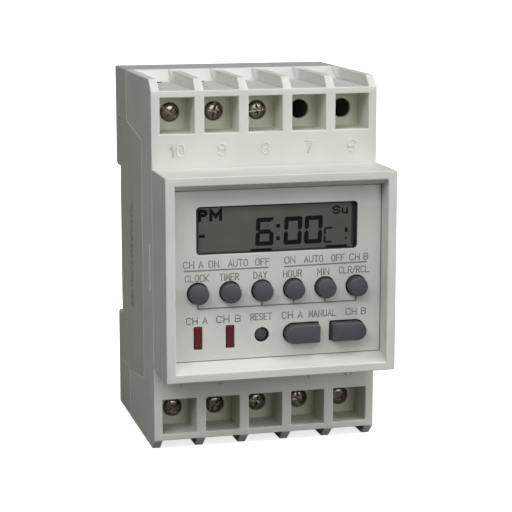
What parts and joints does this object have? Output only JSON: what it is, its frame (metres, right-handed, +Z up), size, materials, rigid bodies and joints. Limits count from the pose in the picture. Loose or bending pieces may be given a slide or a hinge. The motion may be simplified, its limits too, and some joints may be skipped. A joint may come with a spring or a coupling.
{
  "type": "din rail timer",
  "caption": "Modular timer for a 35 mm rail: nose with recessed display panel and keys, screw terminals above and below, spring rail latch.",
  "frame": {"origin": "middle of the seat face at the floor of the rail slot, on the rail's centre line", "axes": "+X to the right seen from the front, +Y back towards the rail, +Z up"},
  "size_m": [0.0524, 0.06, 0.085],
  "materials": {
    "housing_plastic": "fine moulded texture, light warm grey",
    "panel_plastic": "fine satin, light grey",
    "key_plastic": "satin slate grey",
    "clip_plastic": "plain moulded grey",
    "display_glass": "grey-green reflective display",
    "red_lens": "dark red, unlit",
    "nickel_steel": "nickel plated, slightly warm",
    "zinc_steel": "bright zinc",
    "contact_brass": "plain",
    "spring_steel": "drawn wire",
    "circuit_board": "green solder mask",
    "silicone": "translucent white silicone",
    "elastomer": "striped conductive elastomer",
    "relay_case": "dark blue",
    "capacitor_case": "yellow",
    "capacitor_sleeve": "black sleeve",
    "battery_sleeve": "green sleeve",
    "black_resin": "moulded resin"
  },
  "bodies": {
    "housing": {"rear_base": "housing_plastic", "terminal_housing": "housing_plastic", "nose_cover": "housing_plastic", "face_panel": "panel_plastic", "clip_spring": "spring_steel", "lcd_glass": "display_glass", "zebra_strip": "elastomer", "display_board": "circuit_board", "controller_chip": "black_resin", "keypad_mat": "silicone", "led_a": "red_lens", "led_b": "red_lens", "main_board": "circuit_board", "board_link": "black_resin", "relay_a": "relay_case", "relay_b": "relay_case", "supply_capacitor": "capacitor_case", "smoothing_capacitor": "capacitor_sleeve", "backup_battery": "battery_sleeve", "board_screw_1": "nickel_steel", "board_screw_2": "nickel_steel", "board_screw_3": "nickel_steel", "board_screw_4": "nickel_steel", "terminal_contact_10": "contact_brass", "terminal_contact_9": "contact_brass", "terminal_contact_8": "contact_brass", "terminal_contact_1": "contact_brass", "terminal_contact_2": "contact_brass", "terminal_contact_3": "contact_brass", "terminal_contact_4": "contact_brass", "terminal_contact_5": "contact_brass"},
    "rail_latch": {"din_clip": "clip_plastic"},
    "clock_key": {"clock_button": "key_plastic"},
    "timer_key": {"timer_button": "key_plastic"},
    "day_key": {"day_button": "key_plastic"},
    "hour_key": {"hour_button": "key_plastic"},
    "minute_key": {"minute_button": "key_plastic"},
    "clear_key": {"clear_button": "key_plastic"},
    "reset_key": {"reset_button": "key_plastic"},
    "manual_a_key": {"manual_a_button": "key_plastic"},
    "manual_b_key": {"manual_b_button": "key_plastic"},
    "screw_10": {"terminal_screw_10": "nickel_steel"},
    "clamp_10": {"terminal_clamp_10": "zinc_steel"},
    "screw_9": {"terminal_screw_9": "nickel_steel"},
    "clamp_9": {"terminal_clamp_9": "zinc_steel"},
    "screw_8": {"terminal_screw_8": "nickel_steel"},
    "clamp_8": {"terminal_clamp_8": "zinc_steel"},
    "screw_1": {"terminal_screw_1": "nickel_steel"},
    "clamp_1": {"terminal_clamp_1": "zinc_steel"},
    "screw_2": {"terminal_screw_2": "nickel_steel"},
    "clamp_2": {"terminal_clamp_2": "zinc_steel"},
    "screw_3": {"terminal_screw_3": "nickel_steel"},
    "clamp_3": {"terminal_clamp_3": "zinc_steel"},
    "screw_4": {"terminal_screw_4": "nickel_steel"},
    "clamp_4": {"terminal_clamp_4": "zinc_steel"},
    "screw_5": {"terminal_screw_5": "nickel_steel"},
    "clamp_5": {"terminal_clamp_5": "zinc_steel"}
  },
  "joints": [
    {"name": "latch_slide", "type": "slide", "parent": "housing", "child": "rail_latch", "axis": [0, 0, -1], "range_m": [0, 0.0032], "stiffness_N_per_m": 900, "springref_m": -0.002, "deforming": ["clip_spring"]},
    {"name": "clock_key_press", "type": "slide", "parent": "housing", "child": "clock_key", "axis": [0, 1, 0], "range_m": [0, 0.0008], "stiffness_N_per_m": 50, "springref_m": -0.01},
    {"name": "timer_key_press", "type": "slide", "parent": "housing", "child": "timer_key", "axis": [0, 1, 0], "range_m": [0, 0.0008], "stiffness_N_per_m": 50, "springref_m": -0.01},
    {"name": "day_key_press", "type": "slide", "parent": "housing", "child": "day_key", "axis": [0, 1, 0], "range_m": [0, 0.0008], "stiffness_N_per_m": 50, "springref_m": -0.01},
    {"name": "hour_key_press", "type": "slide", "parent": "housing", "child": "hour_key", "axis": [0, 1, 0], "range_m": [0, 0.0008], "stiffness_N_per_m": 50, "springref_m": -0.01},
    {"name": "minute_key_press", "type": "slide", "parent": "housing", "child": "minute_key", "axis": [0, 1, 0], "range_m": [0, 0.0008], "stiffness_N_per_m": 50, "springref_m": -0.01},
    {"name": "clear_key_press", "type": "slide", "parent": "housing", "child": "clear_key", "axis": [0, 1, 0], "range_m": [0, 0.0008], "stiffness_N_per_m": 50, "springref_m": -0.01},
    {"name": "reset_key_press", "type": "slide", "parent": "housing", "child": "reset_key", "axis": [0, 1, 0], "range_m": [0, 0.0008], "stiffness_N_per_m": 25, "springref_m": -0.01},
    {"name": "manual_a_key_press", "type": "slide", "parent": "housing", "child": "manual_a_key", "axis": [0, 1, 0], "range_m": [0, 0.0008], "stiffness_N_per_m": 50, "springref_m": -0.01},
    {"name": "manual_b_key_press", "type": "slide", "parent": "housing", "child": "manual_b_key", "axis": [0, 1, 0], "range_m": [0, 0.0008], "stiffness_N_per_m": 50, "springref_m": -0.01},
    {"name": "screw_10_turn", "type": "hinge", "parent": "housing", "child": "screw_10", "pos_m": [-0.02032, -0.0315, 0.0345], "axis": [0, 1, 0], "range_deg": [0, 2200]},
    {"name": "clamp_10_rise", "type": "slide", "parent": "housing", "child": "clamp_10", "axis": [0, -1, 0], "range_m": [0, 0.003]},
    {"name": "screw_9_turn", "type": "hinge", "parent": "housing", "child": "screw_9", "pos_m": [-0.01016, -0.0315, 0.0345], "axis": [0, 1, 0], "range_deg": [0, 2200]},
    {"name": "clamp_9_rise", "type": "slide", "parent": "housing", "child": "clamp_9", "axis": [0, -1, 0], "range_m": [0, 0.003]},
    {"name": "screw_8_turn", "type": "hinge", "parent": "housing", "child": "screw_8", "pos_m": [0, -0.0315, 0.0345], "axis": [0, 1, 0], "range_deg": [0, 2200]},
    {"name": "clamp_8_rise", "type": "slide", "parent": "housing", "child": "clamp_8", "axis": [0, -1, 0], "range_m": [0, 0.003]},
    {"name": "screw_1_turn", "type": "hinge", "parent": "housing", "child": "screw_1", "pos_m": [-0.02032, -0.0315, -0.0345], "axis": [0, 1, 0], "range_deg": [0, 2200]},
    {"name": "clamp_1_rise", "type": "slide", "parent": "housing", "child": "clamp_1", "axis": [0, -1, 0], "range_m": [0, 0.003]},
    {"name": "screw_2_turn", "type": "hinge", "parent": "housing", "child": "screw_2", "pos_m": [-0.01016, -0.0315, -0.0345], "axis": [0, 1, 0], "range_deg": [0, 2200]},
    {"name": "clamp_2_rise", "type": "slide", "parent": "housing", "child": "clamp_2", "axis": [0, -1, 0], "range_m": [0, 0.003]},
    {"name": "screw_3_turn", "type": "hinge", "parent": "housing", "child": "screw_3", "pos_m": [0, -0.0315, -0.0345], "axis": [0, 1, 0], "range_deg": [0, 2200]},
    {"name": "clamp_3_rise", "type": "slide", "parent": "housing", "child": "clamp_3", "axis": [0, -1, 0], "range_m": [0, 0.003]},
    {"name": "screw_4_turn", "type": "hinge", "parent": "housing", "child": "screw_4", "pos_m": [0.01016, -0.0315, -0.0345], "axis": [0, 1, 0], "range_deg": [0, 2200]},
    {"name": "clamp_4_rise", "type": "slide", "parent": "housing", "child": "clamp_4", "axis": [0, -1, 0], "range_m": [0, 0.003]},
    {"name": "screw_5_turn", "type": "hinge", "parent": "housing", "child": "screw_5", "pos_m": [0.02032, -0.0315, -0.0345], "axis": [0, 1, 0], "range_deg": [0, 2200]},
    {"name": "clamp_5_rise", "type": "slide", "parent": "housing", "child": "clamp_5", "axis": [0, -1, 0], "range_m": [0, 0.003]}
  ],
  "couplings": [
    {"joint": "screw_10_turn", "follows": "clamp_10_rise", "rad_per_m": 12566},
    {"joint": "screw_9_turn", "follows": "clamp_9_rise", "rad_per_m": 12566},
    {"joint": "screw_8_turn", "follows": "clamp_8_rise", "rad_per_m": 12566},
    {"joint": "screw_1_turn", "follows": "clamp_1_rise", "rad_per_m": 12566},
    {"joint": "screw_2_turn", "follows": "clamp_2_rise", "rad_per_m": 12566},
    {"joint": "screw_3_turn", "follows": "clamp_3_rise", "rad_per_m": 12566},
    {"joint": "screw_4_turn", "follows": "clamp_4_rise", "rad_per_m": 12566},
    {"joint": "screw_5_turn", "follows": "clamp_5_rise", "rad_per_m": 12566}
  ]
}
